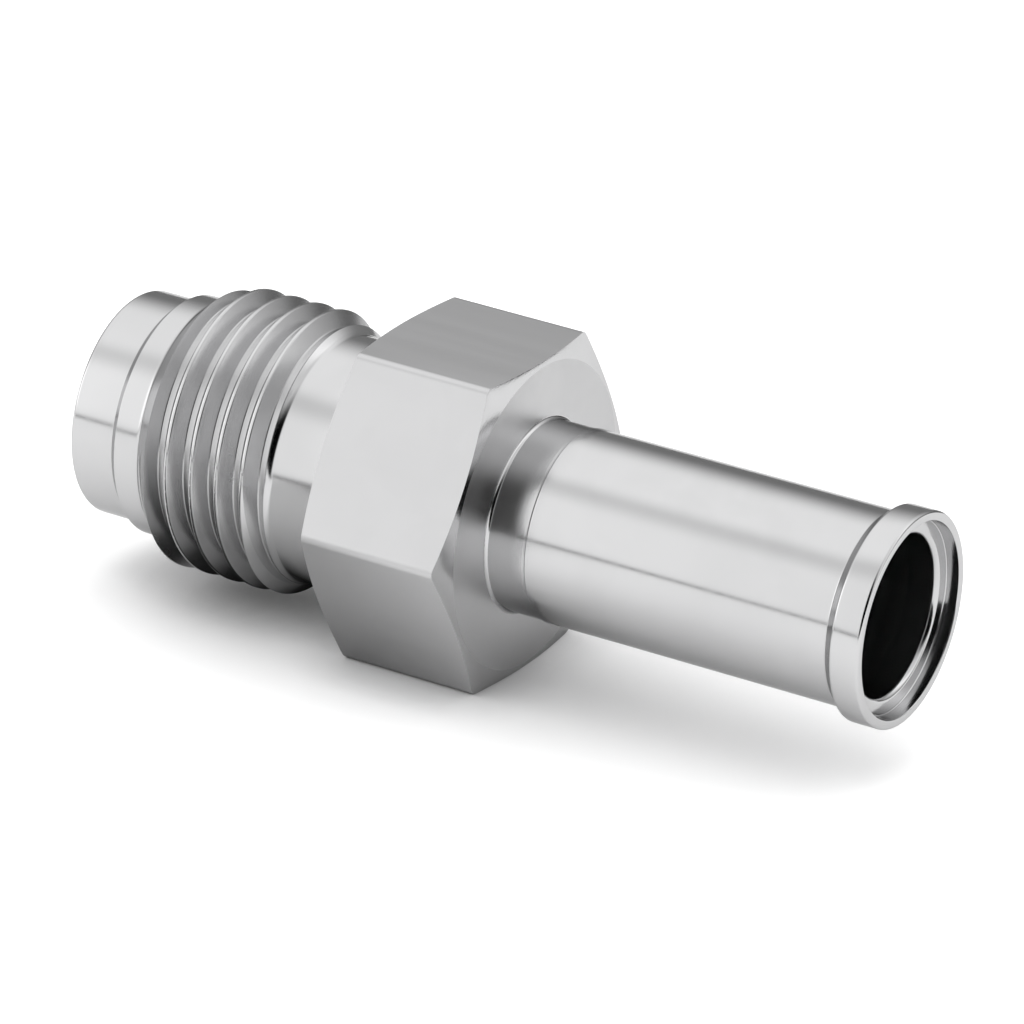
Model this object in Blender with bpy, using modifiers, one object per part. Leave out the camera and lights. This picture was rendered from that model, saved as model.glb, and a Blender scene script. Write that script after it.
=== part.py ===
"""Face seal fitting body: a threaded seal nose, a hexagon and a tube end with a collar, turned in one piece.

Metres, +Z up. The axis runs along X, from the seal face at -X to the tube mouth at +X.
The origin is under the middle of the length, on the surface that the lower hexagon flat rests on.
"""

import math

import bmesh
import bpy
from mathutils import Matrix, Vector

MM = 0.001

# Seal nose, its flat rim and the rounded sealing bead in its recess
NOSE_DIAMETER = 11.15 * MM
NOSE_LENGTH = 2.39 * MM
NOSE_EDGE_RADIUS = 0.22 * MM
RECESS_DIAMETER = 9.1 * MM
BEAD_DIAMETER = 7.2 * MM
BEAD_RADIUS = 0.55 * MM
BEAD_PROUD = 0.1 * MM

# Plain pilot between the nose and the thread
PILOT_DIAMETER = 11.95 * MM
PILOT_LENGTH = 1.71 * MM
PILOT_FILLET = 0.35 * MM

# External thread, 9/16-18 UNF
THREAD_DIAMETER = 14.04 * MM
THREAD_PITCH = 25.4 / 18 * MM
THREAD_LENGTH = 6.55 * MM
THREAD_CHAMFER_ANGLE = 45.0
FLANK_ANGLE = 30.0
CREST_FLAT_SHARE = 1 / 8
ROOT_FLAT_SHARE = 1 / 4
GROOVE_END_ANGLE = 14.0

# Neck between the thread and the hexagon, where the groove runs out
NECK_DIAMETER = 12.2 * MM
NECK_LENGTH = 4.19 * MM
NECK_FILLET = 0.45 * MM

# Hexagon
HEX_FLATS = 15.7 * MM
HEX_LENGTH = 7.9 * MM
HEX_CORNER_HALF_ANGLE = 30.0
HEX_EDGE_RADIUS = 0.5 * MM
HEX_CHAMFER_DIAMETER = 15.22 * MM
HEX_CHAMFER_ANGLE = 15.5
HEX_FILLET = 0.2 * MM

# Short relief at the root of the tube, and the tube
RELIEF_DIAMETER = 9.42 * MM
RELIEF_LENGTH = 2.12 * MM
TUBE_DIAMETER = 9.53 * MM
TUBE_LENGTH = 16.08 * MM

# Collar, its socket and the tube's bore
COLLAR_DIAMETER = 10.52 * MM
COLLAR_LENGTH = 1.95 * MM
COLLAR_SHOULDER_ANGLE = 45.0
COLLAR_SHOULDER_RADIUS = 0.2 * MM
COLLAR_FOOT_FILLET = 0.15 * MM
RIM_EDGE_RADIUS = 0.15 * MM
SOCKET_DIAMETER = 9.56 * MM
SOCKET_DEPTH = 0.7 * MM
SOCKET_CORNER_RADIUS = 0.06 * MM
TUBE_BORE = 7.84 * MM
BORE_EDGE_RADIUS = 0.27 * MM
EDGE_BREAK = 0.04 * MM

# Narrower bore through the threaded side
SEAL_BORE = 4.57 * MM
SEAL_BORE_BREAK = 0.15 * MM
TUBE_BORE_DEPTH = 18.65 * MM
BORE_CONE_ANGLE = 59.0

# How finely the round shapes are cut, and how far helpers reach past or into what they meet
ROUND_STEPS = 64
ARC_STEP_ANGLE = 30.0
BEAD_STEPS = 6
HEX_EDGE_STEPS = 4
SHARP_ANGLE = 20.0
LONGEST_ROUNDING = 0.45
WELD_DISTANCE = 0.01 * MM
SINK = 0.02 * MM
INSIDE_REACH = 0.6 * MM
OVERRUN = 0.3 * MM

STEEL_COLOUR = (0.56, 0.56, 0.57, 1.0)
STEEL_ROUGHNESS = 0.28

# Stations along X, worked out from the lengths above
FULL_LENGTH = (
    BEAD_PROUD + NOSE_LENGTH + PILOT_LENGTH + THREAD_LENGTH + NECK_LENGTH + HEX_LENGTH
    + RELIEF_LENGTH + TUBE_LENGTH + COLLAR_LENGTH
)
BEAD_TOP = -FULL_LENGTH / 2
NOSE_FACE = BEAD_TOP + BEAD_PROUD
PILOT_START = NOSE_FACE + NOSE_LENGTH
THREAD_START = PILOT_START + PILOT_LENGTH
THREAD_END = THREAD_START + THREAD_LENGTH
HEX_REAR = THREAD_END + NECK_LENGTH
HEX_FRONT = HEX_REAR + HEX_LENGTH
TUBE_START = HEX_FRONT + RELIEF_LENGTH
COLLAR_START = TUBE_START + TUBE_LENGTH
MOUTH = COLLAR_START + COLLAR_LENGTH
AXIS_HEIGHT = HEX_FLATS / 2


def clear_scene():
    for obj in list(bpy.data.objects):
        bpy.data.objects.remove(obj, do_unlink=True)


def new_collection(name):
    collection = bpy.data.collections.new(name)
    bpy.context.scene.collection.children.link(collection)
    return collection


def steel_material():
    material = bpy.data.materials.new("stainless_steel")
    material.use_nodes = True
    shader = material.node_tree.nodes["Principled BSDF"]
    shader.inputs["Base Color"].default_value = STEEL_COLOUR
    shader.inputs["Metallic"].default_value = 1.0
    shader.inputs["Roughness"].default_value = STEEL_ROUGHNESS
    return material


def place(name, mesh, collection):
    """Links a mesh as an object whose origin is on the fitting's axis."""
    obj = bpy.data.objects.new(name, mesh)
    obj.location.z = AXIS_HEIGHT
    collection.objects.link(obj)
    return obj


def rise(angle):
    """Radius gained for each metre along the axis on a slope at this angle to the axis."""
    return math.tan(math.radians(angle))


def arc(centre_x, centre_r, radius, start, end, steps):
    """Points (x, radius) on an arc, by angles in degrees from +X towards larger radius."""
    angles = [math.radians(start + (end - start) * step / steps) for step in range(steps + 1)]
    return [(centre_x + radius * math.cos(a), centre_r + radius * math.sin(a)) for a in angles]


def rounded_corner(before, corner, after, radius):
    """Points of the arc that rounds one corner, which takes less than half of each side."""
    most = LONGEST_ROUNDING
    here = Vector(corner)
    back = Vector(before) - here
    ahead = Vector(after) - here
    turn = math.pi - back.angle(ahead)
    reach = min(radius * math.tan(turn / 2), most * back.length, most * ahead.length)
    radius = reach / math.tan(turn / 2)
    inwards = (back.normalized() + ahead.normalized()).normalized()
    centre = here + inwards * (radius / math.cos(turn / 2))
    first = here + back.normalized() * reach - centre
    steps = max(2, round(math.degrees(turn) / ARC_STEP_ANGLE))
    side = 1 if back.x * ahead.y - back.y * ahead.x < 0 else -1
    turned = [Matrix.Rotation(side * turn * step / steps, 2) @ first for step in range(steps + 1)]
    return [tuple(centre + spoke) for spoke in turned]


def rounded_outline(corners):
    """Points of an outline given as corners (x, radius, rounding)."""
    points = []
    for index, (x, r, rounding) in enumerate(corners):
        if rounding:
            before, after = corners[index - 1][:2], corners[index + 1][:2]
            points += rounded_corner(before, (x, r), after, rounding)
        else:
            points.append((x, r))
    return points


def turned(name, outline, collection):
    """A solid turned about X from an outline that runs from its +X end to its -X end."""
    mesh = bpy.data.meshes.new(name)
    edges = [(index, index + 1) for index in range(len(outline) - 1)]
    mesh.from_pydata([(x, r, 0) for x, r in outline], edges, [])
    obj = place(name, mesh, collection)
    screw = obj.modifiers.new("Turn", "SCREW")
    screw.axis = "X"
    screw.steps = screw.render_steps = ROUND_STEPS
    screw.use_merge_vertices = True
    screw.merge_threshold = WELD_DISTANCE
    return obj


def seal_face_outline():
    """The nose's flat rim, its recess and the rounded bead, from the rim to the axis."""
    bead_centre = BEAD_TOP + BEAD_RADIUS
    bead = arc(bead_centre, BEAD_DIAMETER / 2, BEAD_RADIUS, 90, 270, BEAD_STEPS)
    rim = [(NOSE_FACE, RECESS_DIAMETER / 2), (bead_centre, RECESS_DIAMETER / 2)]
    return rim + bead + [(bead_centre, 0)]


def outer_outline():
    """The fitting's outside without its hexagon, from the mouth to the seal face."""
    neck_r = NECK_DIAMETER / 2
    thread_r = THREAD_DIAMETER / 2
    pilot_r = PILOT_DIAMETER / 2
    nose_r = NOSE_DIAMETER / 2
    relief_r = RELIEF_DIAMETER / 2
    tube_r = TUBE_DIAMETER / 2
    collar_r = COLLAR_DIAMETER / 2
    collar_shoulder = COLLAR_START + (collar_r - tube_r) / rise(COLLAR_SHOULDER_ANGLE)
    hex_front_inside = HEX_FRONT - SINK
    hex_rear_inside = HEX_REAR + SINK
    neck_start = THREAD_END + (thread_r - neck_r) / rise(THREAD_CHAMFER_ANGLE)
    full_thread = THREAD_START + (thread_r - pilot_r) / rise(THREAD_CHAMFER_ANGLE)
    corners = [
        (MOUTH, 0, 0),
        (MOUTH, collar_r, RIM_EDGE_RADIUS),
        (collar_shoulder, collar_r, COLLAR_SHOULDER_RADIUS),
        (COLLAR_START, tube_r, COLLAR_FOOT_FILLET),
        (TUBE_START + tube_r - relief_r, tube_r, 0),
        (TUBE_START, relief_r, 0),
        (hex_front_inside, relief_r, HEX_FILLET),
        (hex_front_inside, relief_r + INSIDE_REACH, 0),
        (hex_rear_inside, neck_r + INSIDE_REACH, 0),
        (hex_rear_inside, neck_r, HEX_FILLET),
        (neck_start, neck_r, NECK_FILLET),
        (THREAD_END, thread_r, 0),
        (full_thread, thread_r, 0),
        (THREAD_START, pilot_r, PILOT_FILLET),
        (PILOT_START + pilot_r - nose_r, pilot_r, 0),
        (PILOT_START, nose_r, 0),
        (NOSE_FACE, nose_r, NOSE_EDGE_RADIUS),
        (NOSE_FACE, RECESS_DIAMETER / 2, 0),
    ]
    return rounded_outline(corners)[:-1] + seal_face_outline()


def bore_outline():
    """What the bores and the mouth's socket take away, from past the mouth to past the seal face."""
    socket_r = SOCKET_DIAMETER / 2
    tube_bore_r = TUBE_BORE / 2
    seal_bore_r = SEAL_BORE / 2
    shoulder = MOUTH - SOCKET_DEPTH
    bore_end = MOUTH - TUBE_BORE_DEPTH
    cone_end = bore_end - (tube_bore_r - seal_bore_r) / rise(BORE_CONE_ANGLE)
    recess_floor = BEAD_TOP + BEAD_RADIUS
    flare = EDGE_BREAK + OVERRUN
    corners = [
        (MOUTH + OVERRUN, 0, 0),
        (MOUTH + OVERRUN, socket_r + flare, 0),
        (MOUTH - EDGE_BREAK, socket_r, 0),
        (shoulder, socket_r, SOCKET_CORNER_RADIUS),
        (shoulder, tube_bore_r, BORE_EDGE_RADIUS),
        (bore_end, tube_bore_r, 0),
        (cone_end, seal_bore_r, 0),
        (recess_floor + SEAL_BORE_BREAK, seal_bore_r, 0),
        (recess_floor - OVERRUN, seal_bore_r + SEAL_BORE_BREAK + OVERRUN, 0),
        (recess_floor - OVERRUN, 0, 0),
    ]
    return rounded_outline(corners)


def thread_section():
    """Corners (x, radius) of the groove's section, about the middle of the groove."""
    crest_r = THREAD_DIAMETER / 2
    root_half = ROOT_FLAT_SHARE * THREAD_PITCH / 2
    crest_half = (1 - CREST_FLAT_SHARE) * THREAD_PITCH / 2
    depth = (crest_half - root_half) / rise(FLANK_ANGLE)
    # The flank runs a quarter of the crest's width past it, so that neighbouring turns stay apart.
    top_half = crest_half + CREST_FLAT_SHARE * THREAD_PITCH / 4
    top_r = crest_r + (top_half - crest_half) / rise(FLANK_ANGLE)
    return [
        (root_half, crest_r - depth),
        (top_half, top_r),
        (top_half, top_r + OVERRUN),
        (-top_half, top_r + OVERRUN),
        (-top_half, top_r),
        (-root_half, crest_r - depth),
    ]


def thread_groove(collection):
    """The right-hand helical groove, which starts and ends in the air over the pilot and the neck."""
    section = thread_section()
    half_width = max(x for x, r in section)
    run_out = (THREAD_DIAMETER - NECK_DIAMETER) / 2 / rise(THREAD_CHAMFER_ANGLE)
    turns_before = math.ceil((THREAD_LENGTH + half_width) / THREAD_PITCH)
    turns_after = math.ceil((run_out + half_width) / THREAD_PITCH)
    first = THREAD_END - turns_before * THREAD_PITCH
    angle = math.radians(GROOVE_END_ANGLE)
    mesh = bpy.data.meshes.new("thread_groove")
    corners = [(first + x, r * math.cos(angle), r * math.sin(angle)) for x, r in section]
    edges = [(index, (index + 1) % len(section)) for index in range(len(section))]
    mesh.from_pydata(corners, edges, [])
    groove = place("thread_groove", mesh, collection)
    screw = groove.modifiers.new("Helix", "SCREW")
    screw.axis = "X"
    screw.steps = screw.render_steps = ROUND_STEPS
    screw.screw_offset = THREAD_PITCH
    screw.iterations = turns_before + turns_after
    plain_mesh(groove)
    close_ends(groove.data)
    return groove


def close_ends(mesh):
    """Fills the open ends of a swept shape and turns its faces outwards."""
    bm = bmesh.new()
    bm.from_mesh(mesh)
    open_edges = [edge for edge in bm.edges if edge.is_boundary]
    bmesh.ops.holes_fill(bm, edges=open_edges)
    bmesh.ops.recalc_face_normals(bm, faces=bm.faces)
    bm.to_mesh(mesh)
    bm.free()


def hexagon(collection):
    """The hexagon with its long edges rounded and both ends chamfered by a double cone."""
    corner_r = HEX_FLATS / math.sqrt(3)
    bm = bmesh.new()
    bmesh.ops.create_cone(
        bm, cap_ends=True, segments=6, radius1=corner_r, radius2=corner_r, depth=HEX_LENGTH
    )
    long_edges = [edge for edge in bm.edges if abs(edge.verts[0].co.z - edge.verts[1].co.z) > SINK]
    bmesh.ops.bevel(
        bm,
        geom=long_edges,
        offset=HEX_EDGE_RADIUS * rise(HEX_CORNER_HALF_ANGLE),
        segments=HEX_EDGE_STEPS,
        profile=0.5,
        affect="EDGES",
    )
    lay_down = Matrix.Rotation(math.radians(90), 4, "Y")
    bmesh.ops.transform(bm, matrix=lay_down, verts=bm.verts)
    middle = Vector(((HEX_REAR + HEX_FRONT) / 2, 0, 0))
    bmesh.ops.translate(bm, vec=middle, verts=bm.verts)
    mesh = bpy.data.meshes.new("hexagon")
    bm.to_mesh(mesh)
    bm.free()
    obj = place("hexagon", mesh, collection)
    cone_reach = HEX_CHAMFER_DIAMETER / 2 * rise(HEX_CHAMFER_ANGLE)
    widest = corner_r + OVERRUN
    drop = widest * rise(HEX_CHAMFER_ANGLE) - cone_reach
    cones = [
        (HEX_FRONT + cone_reach, 0),
        (HEX_FRONT - drop, widest),
        (HEX_REAR + drop, widest),
        (HEX_REAR - cone_reach, 0),
    ]
    boolean(obj, turned("hexagon_chamfers", cones, collection), "INTERSECT")
    return obj


def boolean(obj, other, operation):
    modifier = obj.modifiers.new(other.name, "BOOLEAN")
    modifier.operation = operation
    modifier.solver = "EXACT"
    modifier.object = other


def hide_helpers(collection):
    for obj in collection.objects:
        obj.hide_render = True
        obj.display_type = "WIRE"


def plain_mesh(obj):
    """Keeps the shape that the modifiers give as the object's own mesh."""
    graph = bpy.context.evaluated_depsgraph_get()
    mesh = bpy.data.meshes.new_from_object(obj.evaluated_get(graph))
    obj.modifiers.clear()
    obj.data = mesh


def build():
    clear_scene()
    part = new_collection("face_seal_fitting")
    cutters = new_collection("cutters")
    body = turned("fitting_body", outer_outline(), part)
    boolean(body, thread_groove(cutters), "DIFFERENCE")
    boolean(body, hexagon(cutters), "UNION")
    boolean(body, turned("bores", bore_outline(), cutters), "DIFFERENCE")
    plain_mesh(body)
    body.data.shade_smooth()
    body.data.set_sharp_from_angle(angle=math.radians(SHARP_ANGLE))
    body.data.materials.clear()
    body.data.materials.append(steel_material())
    hide_helpers(cutters)


build()
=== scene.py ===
import math

import bmesh
import bpy
from mathutils import Matrix, Vector


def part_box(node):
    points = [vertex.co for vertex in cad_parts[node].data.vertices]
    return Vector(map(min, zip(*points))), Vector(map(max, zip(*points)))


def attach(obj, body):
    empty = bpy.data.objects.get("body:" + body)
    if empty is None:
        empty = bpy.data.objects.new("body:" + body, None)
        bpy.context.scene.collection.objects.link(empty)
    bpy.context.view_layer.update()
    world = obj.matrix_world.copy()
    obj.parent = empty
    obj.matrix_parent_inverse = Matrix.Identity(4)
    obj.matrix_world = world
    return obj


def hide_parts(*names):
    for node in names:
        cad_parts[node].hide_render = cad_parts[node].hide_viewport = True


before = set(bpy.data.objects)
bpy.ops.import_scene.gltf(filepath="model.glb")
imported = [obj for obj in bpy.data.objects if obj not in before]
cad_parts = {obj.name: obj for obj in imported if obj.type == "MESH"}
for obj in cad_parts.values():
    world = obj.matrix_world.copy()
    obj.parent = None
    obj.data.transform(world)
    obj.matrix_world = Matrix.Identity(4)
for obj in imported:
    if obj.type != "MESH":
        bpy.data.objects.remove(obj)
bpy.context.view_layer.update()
mm = 0.001
weldDistance = 0.001 * mm

# Sizes in millimetres and angles in degrees. stepEdge and fineEdge round the small corners. Inside the
# hexagon the bar is wider by flareFillets fillets, and its steps lie hexagonOverlap within it.
# No rounding takes more than cornerShare of the shorter side next to it.
bar = {
    "noseDiameter": 11.15, "noseLength": 2.39, "noseEdge": 0.22, "recessDiameter": 9.1,
    "beadDiameter": 7.2, "beadRadius": 0.55, "beadProud": 0.1,
    "pilotDiameter": 11.95, "pilotLength": 1.71, "pilotFillet": 0.35,
    "stepEdge": 0.05, "fineEdge": 0.03,
    "threadDiameter": 14.04, "threadLength": 6.55, "threadEdge": 0.06,
    "neckDiameter": 12.2, "neckLength": 4.19, "neckFillet": 0.45,
    "reliefDiameter": 9.42, "reliefLength": 2.12, "reliefFillet": 0.2,
    "tubeDiameter": 9.53, "tubeLength": 16.08,
    "collarDiameter": 10.52, "collarLength": 1.95, "collarShoulder": 0.2, "collarFoot": 0.15,
    "rimEdge": 0.15, "rimInnerEdge": 0.06,
    "socketDiameter": 9.56, "socketDepth": 0.7, "socketCorner": 0.06,
    "tubeBore": 7.84, "boreEdge": 0.27, "boreDepth": 18.65, "boreCone": 59.0,
    "sealBore": 4.57, "sealBoreBreak": 0.15, "hexagonOverlap": 0.004,
    "flareFillets": 3, "cornerShare": 0.48, "arcStep": 9.0, "steps": 256, "sharpAngle": 28.0,
}

# The flats are shares of the pitch. The rounding between flank and crest meets the crest at crestMeets
# degrees and runs on by crestPast. The groove is cut overCut higher than the crest.
thread = {
    "pitch": 25.4 / 18, "endAngle": 14.0, "flankAngle": 30.0, "crestFlat": 1 / 8, "rootFlat": 1 / 4,
    "crestEdge": 0.07, "rootEdge": 0.1, "crestMeets": 15.0, "crestPast": 3.0, "crestSteps": 6,
    "overCut": 0.4, "stepsPerTurn": 192,
}

# The chamfering ring is overCut wider than the hexagon's corners.
hexagon = {
    "flats": 15.7, "length": 7.9, "edge": 0.5, "edgeSteps": 8,
    "chamferDiameter": 15.22, "chamferAngle": 15.5, "overCut": 0.3, "hole": 8.7,
}


# Places along X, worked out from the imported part's own end and the lengths above.
def stations():
    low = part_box("fitting_body")[0].x / mm
    place = {"beadTop": low}
    place["noseFace"] = low + bar["beadProud"]
    place["pilotStart"] = place["noseFace"] + bar["noseLength"]
    place["threadStart"] = place["pilotStart"] + bar["pilotLength"]
    place["threadEnd"] = place["threadStart"] + bar["threadLength"]
    place["hexRear"] = place["threadEnd"] + bar["neckLength"]
    place["hexFront"] = place["hexRear"] + hexagon["length"]
    place["tubeStart"] = place["hexFront"] + bar["reliefLength"]
    place["collarStart"] = place["tubeStart"] + bar["tubeLength"]
    place["mouth"] = place["collarStart"] + bar["collarLength"]
    return place


at = stations()
axisHeight = hexagon["flats"] / 2


def rise(degrees):
    return math.tan(math.radians(degrees))


# An outline is a list of corners (x, radius, rounding).
def roundedCorner(before, corner, after, radius):
    here = Vector(corner)
    back = Vector(before) - here
    ahead = Vector(after) - here
    turn = math.pi - back.angle(ahead)
    most = bar["cornerShare"] * min(back.length, ahead.length)
    reach = min(radius * math.tan(turn / 2), most)
    radius = reach / math.tan(turn / 2)
    inwards = (back.normalized() + ahead.normalized()).normalized()
    centre = here + inwards * (radius / math.cos(turn / 2))
    spoke = here + back.normalized() * reach - centre
    steps = max(2, round(math.degrees(turn) / bar["arcStep"]))
    side = 1 if back.x * ahead.y - back.y * ahead.x < 0 else -1
    turns = [side * turn * step / steps for step in range(steps + 1)]
    return [tuple(centre + Matrix.Rotation(angle, 2) @ spoke) for angle in turns]


def roundedOutline(corners):
    points = []
    for index, (x, r, rounding) in enumerate(corners):
        before = corners[index - 1][:2]
        after = corners[(index + 1) % len(corners)][:2]
        points += roundedCorner(before, (x, r), after, rounding) if rounding else [(x, r)]
    return points


# From the mouth along the outside to the seal face, and back through the bores.
def barOutline():
    neckR = bar["neckDiameter"] / 2
    threadR = bar["threadDiameter"] / 2
    pilotR = bar["pilotDiameter"] / 2
    noseR = bar["noseDiameter"] / 2
    reliefR = bar["reliefDiameter"] / 2
    tubeR = bar["tubeDiameter"] / 2
    collarR = bar["collarDiameter"] / 2
    socketR = bar["socketDiameter"] / 2
    boreR = bar["tubeBore"] / 2
    sealR = bar["sealBore"] / 2
    recessR = bar["recessDiameter"] / 2
    beadR = bar["beadDiameter"] / 2
    sink = bar["hexagonOverlap"]
    flare = bar["flareFillets"] * bar["reliefFillet"]
    shoulder = at["mouth"] - bar["socketDepth"]
    boreEnd = at["mouth"] - bar["boreDepth"]
    recessFloor = at["beadTop"] + bar["beadRadius"]
    edge = bar["stepEdge"]
    fine = bar["fineEdge"]
    corners = [
        (at["mouth"], collarR, bar["rimEdge"]),
        (at["collarStart"] + collarR - tubeR, collarR, bar["collarShoulder"]),
        (at["collarStart"], tubeR, bar["collarFoot"]),
        (at["tubeStart"] + tubeR - reliefR, tubeR, fine),
        (at["tubeStart"], reliefR, fine),
        (at["hexFront"] - sink, reliefR, bar["reliefFillet"]),
        (at["hexFront"] - sink, reliefR + flare, 0),
        (at["hexRear"] + sink, neckR + flare, 0),
        (at["hexRear"] + sink, neckR, bar["reliefFillet"]),
        (at["threadEnd"] + threadR - neckR, neckR, bar["neckFillet"]),
        (at["threadEnd"], threadR, bar["threadEdge"]),
        (at["threadStart"] + threadR - pilotR, threadR, bar["threadEdge"]),
        (at["threadStart"], pilotR, bar["pilotFillet"]),
        (at["pilotStart"] + pilotR - noseR, pilotR, edge),
        (at["pilotStart"], noseR, fine),
        (at["noseFace"], noseR, bar["noseEdge"]),
        (at["noseFace"], recessR, edge),
        (recessFloor, recessR, edge),
        (recessFloor, beadR + bar["beadRadius"], 0),
        (at["beadTop"], beadR + bar["beadRadius"], bar["beadRadius"]),
        (at["beadTop"], beadR - bar["beadRadius"], bar["beadRadius"]),
        (recessFloor, beadR - bar["beadRadius"], edge),
        (recessFloor, sealR + bar["sealBoreBreak"], 0),
        (recessFloor + bar["sealBoreBreak"], sealR, 0),
        (boreEnd - (boreR - sealR) / rise(bar["boreCone"]), sealR, edge),
        (boreEnd, boreR, edge),
        (shoulder, boreR, bar["boreEdge"]),
        (shoulder, socketR, bar["socketCorner"]),
        (at["mouth"], socketR, bar["rimInnerEdge"]),
    ]
    return roundedOutline(corners)


# Section of the groove about its own middle, with rounded root corners and crest edges.
def grooveSection():
    pitch = thread["pitch"]
    crestR = bar["threadDiameter"] / 2
    slope = rise(thread["flankAngle"])
    rootHalf = thread["rootFlat"] * pitch / 2
    crestHalf = (1 - thread["crestFlat"]) * pitch / 2
    rootR = crestR - (crestHalf - rootHalf) / slope
    edge = thread["crestEdge"]
    flank = 90 - thread["flankAngle"]
    meets = thread["crestMeets"]
    centreR = crestR - edge * math.cos(math.radians(meets))
    tangentR = centreR + edge * math.cos(math.radians(flank))
    centreX = rootHalf + (tangentR - rootR) * slope + edge * math.sin(math.radians(flank))
    steps = thread["crestSteps"]
    last = meets - thread["crestPast"]
    turns = [math.radians(flank + (last - flank) * step / steps) for step in range(steps + 1)]
    crest = [(centreX - edge * math.sin(turn), centreR + edge * math.cos(turn)) for turn in turns]
    root = roundedCorner((0, rootR), (rootHalf, rootR), crest[0], thread["rootEdge"])
    side = root + crest + [(crest[-1][0], crestR + thread["overCut"])]
    return side + [(-x, r) for x, r in reversed(side)]


def wireObject(name, points):
    mesh = bpy.data.meshes.new(name)
    corners = [(across * mm, upwards * mm, 0) for across, upwards in points]
    sides = [(index, (index + 1) % len(points)) for index in range(len(points))]
    mesh.from_pydata(corners, sides, [])
    obj = bpy.data.objects.new(name, mesh)
    bpy.context.scene.collection.objects.link(obj)
    return obj


# Geometry Nodes helpers: a tree with named inputs, and a node with its values and links in one call.
def newTree(name, inputs):
    tree = bpy.data.node_groups.new(name, "GeometryNodeTree")
    tree.interface.new_socket("Outline", in_out="INPUT", socket_type="NodeSocketGeometry")
    shared = [("Axis Height", "NodeSocketFloat", 0.0), ("Material", "NodeSocketMaterial", None)]
    for label, kind, value in inputs + shared:
        socket = tree.interface.new_socket(label, in_out="INPUT", socket_type=kind)
        if value is not None:
            socket.default_value = value
    tree.interface.new_socket("Solid", in_out="OUTPUT", socket_type="NodeSocketGeometry")
    return tree


def addNode(tree, kind, values=None, **settings):
    node = tree.nodes.new(kind)
    for key, value in settings.items():
        setattr(node, key, value)
    for key, value in (values or {}).items():
        if isinstance(value, bpy.types.NodeSocket):
            tree.links.new(value, node.inputs[key])
        else:
            node.inputs[key].default_value = value
    return node


def mathNode(tree, operation, first, second=0.0, third=0.0):
    return addNode(tree, "ShaderNodeMath", {0: first, 1: second, 2: third}, operation=operation).outputs[0]


# Turns the solid to lie along X and lifts it to the axis. Realize Instances and Set Material end each tree.
def finishTree(tree, solid, source, turn=0.0):
    lift = addNode(tree, "ShaderNodeCombineXYZ", {"Z": source.outputs["Axis Height"]})
    laid = addNode(tree, "GeometryNodeTransform", {
        "Geometry": solid.outputs[0], "Translation": lift.outputs[0], "Rotation": (0, turn, 0)})
    smooth = addNode(tree, "GeometryNodeSetShadeSmooth", {"Geometry": laid.outputs[0]})
    real = addNode(tree, "GeometryNodeRealizeInstances", {"Geometry": smooth.outputs[0]})
    steel = source.outputs["Material"]
    painted = addNode(tree, "GeometryNodeSetMaterial", {"Geometry": real.outputs[0], "Material": steel})
    addNode(tree, "NodeGroupOutput", {0: painted.outputs[0]})


# Turns an outline (x, radius) round the fitting's axis. The profile rides on a small circle, its core.
def latheTree():
    tree = newTree("turnRoundAxis", [("Steps", "NodeSocketInt", bar["steps"])])
    source = addNode(tree, "NodeGroupInput")
    core = 1 * mm
    outline = addNode(tree, "GeometryNodeMeshToCurve", {"Mesh": source.outputs["Outline"]})
    profile = addNode(tree, "GeometryNodeTransform", {
        "Geometry": outline.outputs[0], "Translation": (-core, 0, 0), "Rotation": (0, 0, -math.pi / 2)})
    circle = addNode(tree, "GeometryNodeCurvePrimitiveCircle", {
        "Resolution": source.outputs["Steps"], "Radius": core})
    path = addNode(tree, "GeometryNodeSetCurveNormal", {"Curve": circle.outputs[0]}, mode="Z_UP")
    solid = addNode(tree, "GeometryNodeCurveToMesh", {
        "Curve": path.outputs[0], "Profile Curve": profile.outputs[0]})
    finishTree(tree, solid, source, math.pi / 2)
    return tree


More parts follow.
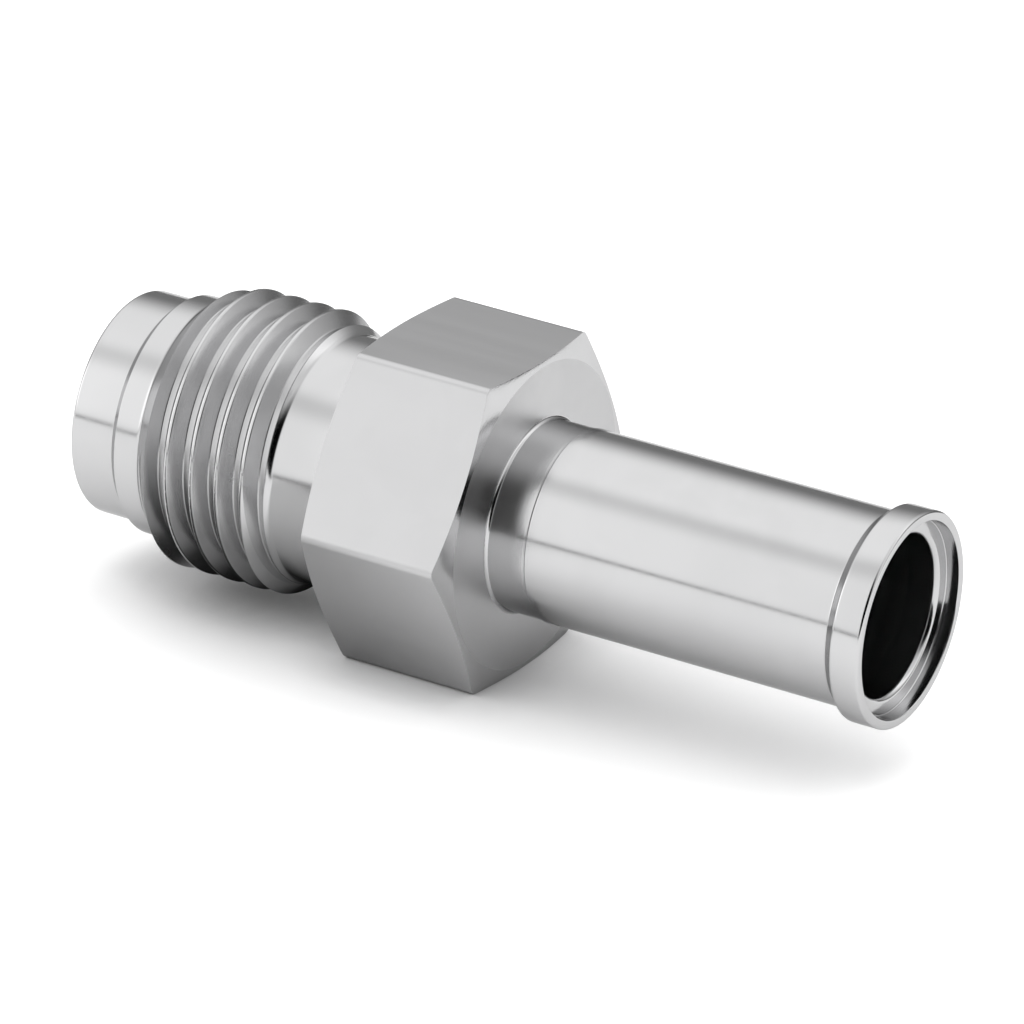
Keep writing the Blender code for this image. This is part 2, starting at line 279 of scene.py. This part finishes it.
# Sweeps the groove's section (x, radius) along a right-hand helix round the axis.
def helixTree():
    tree = newTree("sweepAlongHelix", [
        ("Pitch", "NodeSocketFloat", thread["pitch"] * mm),
        ("Radius", "NodeSocketFloat", bar["threadDiameter"] / 2 * mm),
        ("Turns", "NodeSocketInt", 6),
        ("Steps Per Turn", "NodeSocketInt", thread["stepsPerTurn"]),
        ("Start", "NodeSocketFloat", 0.0),
        ("Phase", "NodeSocketFloat", 0.0),
    ])
    source = addNode(tree, "NodeGroupInput")
    inputs = source.outputs
    outline = addNode(tree, "GeometryNodeMeshToCurve", {"Mesh": inputs["Outline"]})
    back = mathNode(tree, "MULTIPLY", inputs["Radius"], -1.0)
    inwards = addNode(tree, "ShaderNodeCombineXYZ", {"X": back})
    profile = addNode(tree, "GeometryNodeTransform", {
        "Geometry": outline.outputs[0], "Translation": inwards.outputs[0], "Rotation": (0, 0, -math.pi / 2)})
    line = addNode(tree, "GeometryNodeCurvePrimitiveLine")
    count = mathNode(tree, "ADD", mathNode(tree, "MULTIPLY", inputs["Turns"], inputs["Steps Per Turn"]), 1.0)
    points = addNode(tree, "GeometryNodeResampleCurve", {"Curve": line.outputs[0], "Count": count})
    factor = addNode(tree, "GeometryNodeSplineParameter").outputs["Factor"]
    turns = mathNode(tree, "MULTIPLY", factor, inputs["Turns"])
    angle = mathNode(tree, "ADD", mathNode(tree, "MULTIPLY", turns, 2 * math.pi), inputs["Phase"])
    across = mathNode(tree, "MULTIPLY", mathNode(tree, "COSINE", angle), inputs["Radius"])
    upwards = mathNode(tree, "MULTIPLY", mathNode(tree, "SINE", angle), inputs["Radius"])
    along = mathNode(tree, "ADD", mathNode(tree, "MULTIPLY", turns, inputs["Pitch"]), inputs["Start"])
    place = addNode(tree, "ShaderNodeCombineXYZ", {"X": across, "Y": upwards, "Z": along})
    helix = addNode(tree, "GeometryNodeSetPosition", {
        "Geometry": points.outputs[0], "Position": place.outputs[0]})
    path = addNode(tree, "GeometryNodeSetCurveNormal", {"Curve": helix.outputs[0]}, mode="Z_UP")
    solid = addNode(tree, "GeometryNodeCurveToMesh", {
        "Curve": path.outputs[0], "Profile Curve": profile.outputs[0], "Fill Caps": True})
    finishTree(tree, solid, source, math.pi / 2)
    return tree


# A six-sided bar with its long edges rounded, lying along the axis.
def hexagonTree():
    tree = newTree("hexagonBar", [
        ("Flats", "NodeSocketFloat", hexagon["flats"] * mm),
        ("Length", "NodeSocketFloat", hexagon["length"] * mm),
        ("Start", "NodeSocketFloat", 0.0),
        ("Edge Radius", "NodeSocketFloat", hexagon["edge"] * mm),
        ("Edge Steps", "NodeSocketInt", hexagon["edgeSteps"]),
    ])
    source = addNode(tree, "NodeGroupInput")
    inputs = source.outputs
    corner = mathNode(tree, "MULTIPLY", inputs["Flats"], 1 / math.sqrt(3))
    ring = addNode(tree, "GeometryNodeCurvePrimitiveCircle", {"Resolution": 6, "Radius": corner})
    edge = {"Curve": ring.outputs[0], "Count": inputs["Edge Steps"], "Radius": inputs["Edge Radius"]}
    rounded = addNode(tree, "GeometryNodeFilletCurve", edge, mode="POLY")
    low = addNode(tree, "ShaderNodeCombineXYZ", {"X": inputs["Start"]})
    end = mathNode(tree, "ADD", inputs["Start"], inputs["Length"])
    high = addNode(tree, "ShaderNodeCombineXYZ", {"X": end})
    line = addNode(tree, "GeometryNodeCurvePrimitiveLine", {"Start": low.outputs[0], "End": high.outputs[0]})
    path = addNode(tree, "GeometryNodeSetCurveNormal", {"Curve": line.outputs[0]}, mode="Z_UP")
    solid = addNode(tree, "GeometryNodeCurveToMesh", {
        "Curve": path.outputs[0], "Profile Curve": rounded.outputs[0], "Fill Caps": True})
    finishTree(tree, solid, source)
    return tree


# Runs a tree on an object and keeps the result as its plain mesh.
def grow(obj, tree, values):
    modifier = obj.modifiers.new(tree.name, "NODES")
    modifier.node_group = tree
    for item in tree.interface.items_tree:
        if item.item_type == "SOCKET" and item.in_out == "INPUT" and item.name in values:
            modifier[item.identifier] = values[item.name]
    settle(obj)
    bm = bmesh.new()
    bm.from_mesh(obj.data)
    bmesh.ops.remove_doubles(bm, verts=bm.verts, dist=weldDistance)
    bmesh.ops.recalc_face_normals(bm, faces=bm.faces)
    bm.to_mesh(obj.data)
    bm.free()
    return obj


# Keeps the evaluated mesh and drops the modifiers.
def settle(obj):
    graph = bpy.context.evaluated_depsgraph_get()
    mesh = bpy.data.meshes.new_from_object(obj.evaluated_get(graph))
    obj.modifiers.clear()
    obj.data = mesh


def combine(obj, other, operation):
    modifier = obj.modifiers.new(operation, "BOOLEAN")
    modifier.operation = operation
    modifier.solver = "EXACT"
    modifier.material_mode = "TRANSFER"
    modifier.object = other
    settle(obj)
    bpy.data.objects.remove(other, do_unlink=True)


# The hexagon's ends are cut by a turned ring with a chamfer cone on both sides. Its tree draws its own
# outline, so the object given to it is only a stand-in line.
def makeHexagon(lathe, flatSteel, turnedSteel):
    obj = grow(wireObject("hexagon", [(0, 0), (1, 0)]), hexagonTree(), {
        "Flats": hexagon["flats"] * mm, "Length": hexagon["length"] * mm, "Start": at["hexRear"] * mm,
        "Edge Radius": hexagon["edge"] * mm, "Edge Steps": hexagon["edgeSteps"],
        "Axis Height": axisHeight * mm, "Material": flatSteel})
    hole = hexagon["hole"] / 2
    reach = (hexagon["chamferDiameter"] / 2 - hole) * rise(hexagon["chamferAngle"])
    widest = hexagon["flats"] / math.sqrt(3) + hexagon["overCut"]
    drop = (widest - hexagon["chamferDiameter"] / 2) * rise(hexagon["chamferAngle"])
    cones = [
        (at["hexFront"] + reach, hole), (at["hexFront"] - drop, widest),
        (at["hexRear"] + drop, widest), (at["hexRear"] - reach, hole),
    ]
    ring = grow(wireObject("chamfers", cones), lathe, {
        "Steps": bar["steps"], "Axis Height": axisHeight * mm, "Material": turnedSteel})
    combine(obj, ring, "INTERSECT")
    return obj


# The groove starts in the air before the thread and ends in the air over the neck.
def makeGroove(groovedSteel):
    pitch = thread["pitch"]
    section = grooveSection()
    half = max(x for x, r in section)
    runOut = (bar["threadDiameter"] - bar["neckDiameter"]) / 2
    before = math.ceil((bar["threadLength"] + half) / pitch)
    after = math.ceil((runOut + half) / pitch)
    return grow(wireObject("groove", section), helixTree(), {
        "Pitch": pitch * mm, "Radius": bar["threadDiameter"] / 2 * mm, "Turns": before + after,
        "Steps Per Turn": thread["stepsPerTurn"], "Start": (at["threadEnd"] - before * pitch) * mm,
        "Phase": math.radians(thread["endAngle"] + 90), "Axis Height": axisHeight * mm,
        "Material": groovedSteel})


def makeFitting(materials):
    turnedSteel, groovedSteel, flatSteel = materials
    lathe = latheTree()
    fitting = grow(wireObject("turned_fitting", barOutline()), lathe, {
        "Steps": bar["steps"], "Axis Height": axisHeight * mm, "Material": turnedSteel})
    print("turned and bored")
    combine(fitting, makeGroove(groovedSteel), "DIFFERENCE")
    print("thread cut")
    combine(fitting, makeHexagon(lathe, flatSteel, turnedSteel), "UNION")
    print("hexagon joined")
    fitting.data.shade_smooth()
    fitting.data.set_sharp_from_angle(angle=math.radians(bar["sharpAngle"]))
    return fitting


# Shader helpers. A group is built once and placed in each steel with its own values.
def newGroup(name, inputs, outputs):
    group = bpy.data.node_groups.new(name, "ShaderNodeTree")
    for label, value in inputs:
        socket = group.interface.new_socket(label, in_out="INPUT", socket_type="NodeSocketFloat")
        socket.default_value = value
    for label in outputs:
        group.interface.new_socket(label, in_out="OUTPUT", socket_type="NodeSocketFloat")
    return group, addNode(group, "NodeGroupInput").outputs


def placeGroup(tree, group, values):
    return addNode(tree, "ShaderNodeGroup", values, node_tree=group).outputs


def objectPlace(tree):
    place = addNode(tree, "ShaderNodeTexCoord").outputs["Object"]
    return place, addNode(tree, "ShaderNodeSeparateXYZ", {0: place}).outputs


def smoothStep(tree, value, start, end):
    step = {0: value, 1: start, 2: end}
    return addNode(tree, "ShaderNodeMapRange", step, interpolation_type="SMOOTHSTEP").outputs[0]


# Sockets 6, 7 and output 2 of a Mix node are its colours.
def mixColour(tree, share, first, second):
    return addNode(tree, "ShaderNodeMix", {0: share, 6: first, 7: second}, data_type="RGBA").outputs[2]


def grey(value):
    return (value, value, value, 1)


def lineNoise(tree, place, width, detail):
    line = {"W": mathNode(tree, "DIVIDE", place, width), "Scale": 1.0, "Detail": detail}
    return addNode(tree, "ShaderNodeTexNoise", line, noise_dimensions="1D").outputs[0]


# Fine rings that a turning tool leaves. They follow X on round walls and the radius on faces.
def makeRingMarks():
    group, inputs = newGroup("ringMarks", [
        ("Axis Height", axisHeight * mm), ("Face Share", 0.83),
        ("Fine Width", 0.05 * mm), ("Coarse Width", 0.4 * mm), ("Coarse Share", 0.3)], ["Height", "Tone"])
    place, parts = objectPlace(group)
    up = mathNode(group, "SUBTRACT", parts["Z"], inputs["Axis Height"])
    sideways = mathNode(group, "MULTIPLY", parts["Y"], parts["Y"])
    radius = mathNode(group, "SQRT", mathNode(group, "MULTIPLY_ADD", up, up, sideways))
    across = mathNode(group, "MULTIPLY_ADD", radius, inputs["Face Share"], parts["X"])
    fine = lineNoise(group, across, inputs["Fine Width"], detail=2.0)
    coarse = lineNoise(group, across, inputs["Coarse Width"], detail=1.0)
    gap = mathNode(group, "SUBTRACT", coarse, fine)
    height = mathNode(group, "MULTIPLY_ADD", gap, inputs["Coarse Share"], fine)
    addNode(group, "NodeGroupOutput", {"Height": height, "Tone": coarse})
    return group


# Long fine lines that grinding leaves on the flats, along the bar.
def makeDrawnGrain():
    group, inputs = newGroup("drawnGrain", [
        ("Line Width", 0.06 * mm), ("Stretch", 30.0), ("Band Share", 0.07)], ["Height", "Tone"])
    place, parts = objectPlace(group)
    short = mathNode(group, "DIVIDE", parts["X"], inputs["Stretch"])
    moved = addNode(group, "ShaderNodeCombineXYZ", {"X": short, "Y": parts["Y"], "Z": parts["Z"]}).outputs[0]
    scale = mathNode(group, "DIVIDE", 1.0, inputs["Line Width"])
    lines = addNode(group, "ShaderNodeTexNoise", {"Vector": moved, "Scale": scale, "Detail": 3.0})
    wide = mathNode(group, "MULTIPLY", scale, inputs["Band Share"])
    bands = addNode(group, "ShaderNodeTexNoise", {"Vector": moved, "Scale": wide, "Detail": 1.0})
    addNode(group, "NodeGroupOutput", {"Height": lines.outputs[0], "Tone": bands.outputs[0]})
    return group


# Soft patches where the steel was handled and wiped.
def makeHandling():
    group, inputs = newGroup("handling", [("Patch Size", 3 * mm), ("Start", 0.35), ("Full", 0.65)], ["Mask"])
    place, parts = objectPlace(group)
    scale = mathNode(group, "DIVIDE", 1.0, inputs["Patch Size"])
    cloud = addNode(group, "ShaderNodeTexNoise", {
        "Vector": place, "Scale": scale, "Detail": 4.0, "Distortion": 0.6})
    mask = smoothStep(group, cloud.outputs[0], inputs["Start"], inputs["Full"])
    addNode(group, "NodeGroupOutput", {"Mask": mask})
    return group


# The marks' tone runs over this range from the smoothest to the roughest steel.
toneRange = (0.25, 0.75)


# One steel: its marks give the bump and part of the roughness, the handling the rest and a breath of tone.
def makeSteel(name, finish, marks, markValues, handling):
    material = bpy.data.materials.new(name)
    material.use_nodes = True
    tree = material.node_tree
    shader = tree.nodes["Principled BSDF"]
    shader.inputs["Metallic"].default_value = 1
    shader.inputs["Specular Tint"].default_value = (*finish["edgeTint"], 1)
    found = placeGroup(tree, marks, markValues)
    wiped = placeGroup(tree, handling, {"Patch Size": finish["patchSize"] * mm})["Mask"]
    bump = addNode(tree, "ShaderNodeBump", {
        "Height": found["Height"], "Distance": finish["markDepth"] * mm, "Strength": 1.0})
    tree.links.new(bump.outputs[0], shader.inputs["Normal"])
    smoothest = finish["roughness"] - finish["roughnessSpread"]
    roughest = finish["roughness"] + finish["roughnessSpread"]
    rough = addNode(tree, "ShaderNodeMapRange", {
        0: found["Tone"], 1: toneRange[0], 2: toneRange[1], 3: smoothest, 4: roughest})
    smudged = mathNode(tree, "MULTIPLY_ADD", wiped, finish["wiped"], rough.outputs[0])
    tree.links.new(smudged, shader.inputs["Roughness"])
    clean = (*finish["colour"], 1)
    dull = (*(value * finish["dull"] for value in finish["colour"]), 1)
    tree.links.new(mixColour(tree, wiped, clean, dull), shader.inputs["Base Color"])
    return material


# Widths and depths in millimetres. Wiped places are rougher by wiped, their colour is multiplied by dull.
turnedFinish = {
    "colour": (0.65, 0.65, 0.655), "dull": 0.97, "roughness": 0.13, "roughnessSpread": 0.015, "wiped": 0.015,
    "edgeTint": (0.7, 0.7, 0.7), "patchSize": 4.0,
    "markDepth": 0.0012, "fineWidth": 0.06, "coarseWidth": 0.5, "coarseShare": 0.3,
}
threadFinish = {
    "colour": (0.57, 0.57, 0.575), "dull": 0.97, "roughness": 0.25, "roughnessSpread": 0.02, "wiped": 0.01,
    "edgeTint": (0.7, 0.7, 0.7), "patchSize": 1.2,
    "markDepth": 0.0012, "fineWidth": 0.05, "coarseWidth": 0.3, "coarseShare": 0.3,
}
flatFinish = {
    "colour": (0.63, 0.63, 0.635), "dull": 0.985, "roughness": 0.32, "roughnessSpread": 0.02, "wiped": 0.015,
    "edgeTint": (0.7, 0.7, 0.7), "patchSize": 3.0, "markDepth": 0.002, "lineWidth": 0.06, "stretch": 30.0,
}


def makeSteels():
    rings, grain, handling = makeRingMarks(), makeDrawnGrain(), makeHandling()
    steels = []
    for name, finish in (("turnedSteel", turnedFinish), ("threadSteel", threadFinish)):
        values = {"Fine Width": finish["fineWidth"] * mm, "Coarse Width": finish["coarseWidth"] * mm,
                  "Coarse Share": finish["coarseShare"]}
        steels.append(makeSteel(name, finish, rings, values, handling))
    values = {"Line Width": flatFinish["lineWidth"] * mm, "Stretch": flatFinish["stretch"]}
    steels.append(makeSteel("flatSteel", flatFinish, grain, values, handling))
    print("steels:", len(steels))
    return steels


# Angles in degrees, distances in metres, lens and film in millimetres.
picture = {
    "azimuth": -60.75, "elevation": 23.81, "roll": 3.04, "distance": 0.37965, "lens": 281.25, "film": 36,
    "target": (0.00009, -0.00008, 0.00769), "nearest": 0.01, "farthest": 10,
}


def placeCamera():
    data = bpy.data.cameras.new("studioCamera")
    data.lens = picture["lens"]
    data.sensor_width = picture["film"]
    data.clip_start = picture["nearest"]
    data.clip_end = picture["farthest"]
    camera = bpy.data.objects.new("studioCamera", data)
    bpy.context.scene.collection.objects.link(camera)
    azimuth = math.radians(picture["azimuth"])
    elevation = math.radians(picture["elevation"])
    level = math.cos(elevation)
    back = Vector((level * math.cos(azimuth), level * math.sin(azimuth), math.sin(elevation)))
    turn = back.to_track_quat("Z", "Y").to_matrix() @ Matrix.Rotation(math.radians(picture["roll"]), 3, "Z")
    place = Vector(picture["target"]) + back * picture["distance"]
    camera.matrix_world = Matrix.Translation(place) @ turn.to_4x4()
    bpy.context.scene.camera = camera


# A white tent round the part, made of soft panels on the world. Turn is round the part's axis in degrees:
# 0 is the far horizon, 90 overhead and 180 the near one. Along is from -1, the seal face's side, to 1.
# Each panel starts, is full from, is full to and ends at its four numbers.
panels = {
    "overhead": {"turn": (12, 56, 94, 134), "along": (-1.2, -0.6, 1.0, 1.3), "light": 0.86},
    "front": {"turn": (108, 134, 180, 185), "along": (-1.1, -0.9, -0.1, 0.15), "light": 0.8},
    "frontLeft": {"turn": (95, 130, 172, 188), "along": (-1.2, -0.95, -0.8, -0.45), "light": 0.6},
    "backRight": {"turn": (-6, 16, 50, 80), "along": (0.0, 0.4, 1.0, 1.3), "light": 0.55},
    "fill": {"turn": (-14, -4, 180, 185), "along": (-1.3, -0.9, 0.0, 0.3), "light": 0.28},
}


def softPanel(tree, turn, along, panel):
    light = panel["light"]
    for place, (start, fullFrom, fullTo, end) in ((turn, panel["turn"]), (along, panel["along"])):
        light = mathNode(tree, "MULTIPLY", smoothStep(tree, place, start, fullFrom), light)
        light = mathNode(tree, "MULTIPLY", light, smoothStep(tree, place, end, fullTo))
    return light


def lightStudio():
    world = bpy.data.worlds.new("studioSky")
    bpy.context.scene.world = world
    world.use_nodes = True
    tree = world.node_tree
    tree.nodes.clear()
    direction = addNode(tree, "ShaderNodeTexCoord").outputs["Generated"]
    parts = addNode(tree, "ShaderNodeSeparateXYZ", {0: direction}).outputs
    turn = mathNode(tree, "DEGREES", mathNode(tree, "ARCTAN2", parts["Z"], parts["Y"]))
    # Turns run from -90, straight down, round to 270.
    turn = mathNode(tree, "MULTIPLY_ADD", mathNode(tree, "LESS_THAN", turn, -90.0), 360.0, turn)
    sky = 0.0
    for panel in panels.values():
        sky = mathNode(tree, "ADD", softPanel(tree, turn, parts["X"], panel), sky)
    light = addNode(tree, "ShaderNodeBackground", {"Color": sky})
    addNode(tree, "ShaderNodeOutputWorld", {0: light.outputs[0]})


# A wide soft lamp for the floor, which keeps the part's shadow close to it. Its spread is in degrees.
wideLamp = {"energy": 1.3, "spread": 140}


def lightFloor():
    data = bpy.data.lights.new("floorLamp", "SUN")
    data.energy = wideLamp["energy"]
    data.angle = math.radians(wideLamp["spread"])
    lamp = bpy.data.objects.new("floorLamp", data)
    lamp.visible_glossy = False
    bpy.context.scene.collection.objects.link(lamp)


# A painted shadow on the floor, seen only by the steel, which makes the shadow under the thread and the neck
# look deeper: (place along X, share) across a strip that leans towards the near left, and that fades out
# behind the part. In metres.
paintedShadowStrip = {
    "shares": [(-0.0149, 0), (-0.0136, 0.93), (-0.0106, 0.93), (-0.0088, 0.42), (-0.004, 0.42), (0.003, 0)],
    "lean": 0.504, "fadeFrom": 0.004, "fadeTo": 0.01,
}


def paintedFloorShadow(tree):
    place, parts = objectPlace(tree)
    across = mathNode(tree, "MULTIPLY_ADD", parts["Y"], -paintedShadowStrip["lean"], parts["X"])
    shares = paintedShadowStrip["shares"]
    low, high = shares[0][0], shares[-1][0]
    part = addNode(tree, "ShaderNodeMapRange", {0: across, 1: low, 2: high}).outputs[0]
    ramp = addNode(tree, "ShaderNodeValToRGB", {0: part})
    marks = ramp.color_ramp.elements
    marks.remove(marks[-1])
    for index, (along, share) in enumerate(shares):
        mark = marks[0] if index == 0 else marks.new((along - low) / (high - low))
        mark.color = grey(share)
    fade = smoothStep(tree, parts["Y"], paintedShadowStrip["fadeTo"], paintedShadowStrip["fadeFrom"])
    return mathNode(tree, "MULTIPLY", ramp.outputs[0], fade)


def emptyMaterial(name):
    material = bpy.data.materials.new(name)
    material.use_nodes = True
    material.node_tree.nodes.clear()
    return material, material.node_tree


def meshObject(name, bm, material):
    mesh = bpy.data.meshes.new(name)
    bm.to_mesh(mesh)
    bm.free()
    mesh.materials.append(material)
    obj = bpy.data.objects.new(name, mesh)
    bpy.context.scene.collection.objects.link(obj)
    return obj


# In metres. The camera sees the floor brighter than the steel does, so that it is white in the picture.
# Where it ends in front and behind, the world's dark gap gives the steel its fine dark lines.
ground = {
    "colour": 0.5, "seen": 1.15, "mirrored": 0.88, "reach": 0.8, "front": -0.115, "back": 0.11,
    "drop": 0.00002, "contactReach": 0.003, "contactShare": 0.45, "contactSamples": 4,
}


def makeFloor():
    material, tree = emptyMaterial("paleFloor")
    path = addNode(tree, "ShaderNodeLightPath").outputs
    black = grey(0)
    # Glossy rays see the floor darkened by the painted shadow strip.
    inSteel = mixColour(tree, paintedFloorShadow(tree), grey(ground["mirrored"]), black)
    pale = mixColour(tree, path["Is Glossy Ray"], grey(ground["colour"]), inSteel)
    shown = mixColour(tree, path["Is Camera Ray"], pale, grey(ground["seen"]))
    # Painted contact shade: the floor's colour darkens where the part comes close to it.
    near = {"Distance": ground["contactReach"]}
    clear = addNode(tree, "ShaderNodeAmbientOcclusion", near, samples=ground["contactSamples"]).outputs["AO"]
    paintedContactShade = mathNode(tree, "MULTIPLY", mathNode(tree, "SUBTRACT", 1.0, clear), ground["contactShare"])
    matt = addNode(tree, "ShaderNodeBsdfDiffuse", {"Color": mixColour(tree, paintedContactShade, shown, black)})
    addNode(tree, "ShaderNodeOutputMaterial", {0: matt.outputs[0]})
    bm = bmesh.new()
    bmesh.ops.create_grid(bm, x_segments=1, y_segments=1, size=ground["reach"])
    for vert in bm.verts:
        vert.co.y = min(max(vert.co.y, ground["front"]), ground["back"])
        vert.co.z = -ground["drop"]
    floor = meshObject("studio_floor", bm, material)


# The white that the camera sees beyond the floor. The steel sees the panels instead, so it lights nothing.
ball = {"radius": 2.0, "subdivisions": 3, "strength": 1.0}


def makeBackdrop():
    material, tree = emptyMaterial("whiteBackdrop")
    white = addNode(tree, "ShaderNodeEmission", {"Color": grey(1), "Strength": ball["strength"]})
    addNode(tree, "ShaderNodeOutputMaterial", {0: white.outputs[0]})
    bm = bmesh.new()
    bmesh.ops.create_icosphere(bm, subdivisions=ball["subdivisions"], radius=ball["radius"])
    backdrop = meshObject("studio_backdrop", bm, material)
    for rays in ("diffuse", "glossy", "transmission", "volume_scatter", "shadow"):
        setattr(backdrop, "visible_" + rays, False)


fitting = makeFitting(makeSteels())
print("fitting:", len(fitting.data.polygons), "faces")
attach(fitting, "root")
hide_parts("fitting_body")
makeFloor()
makeBackdrop()
lightStudio()
lightFloor()
print("studio lit")
placeCamera()
bpy.context.scene.view_settings.view_transform = "Standard"
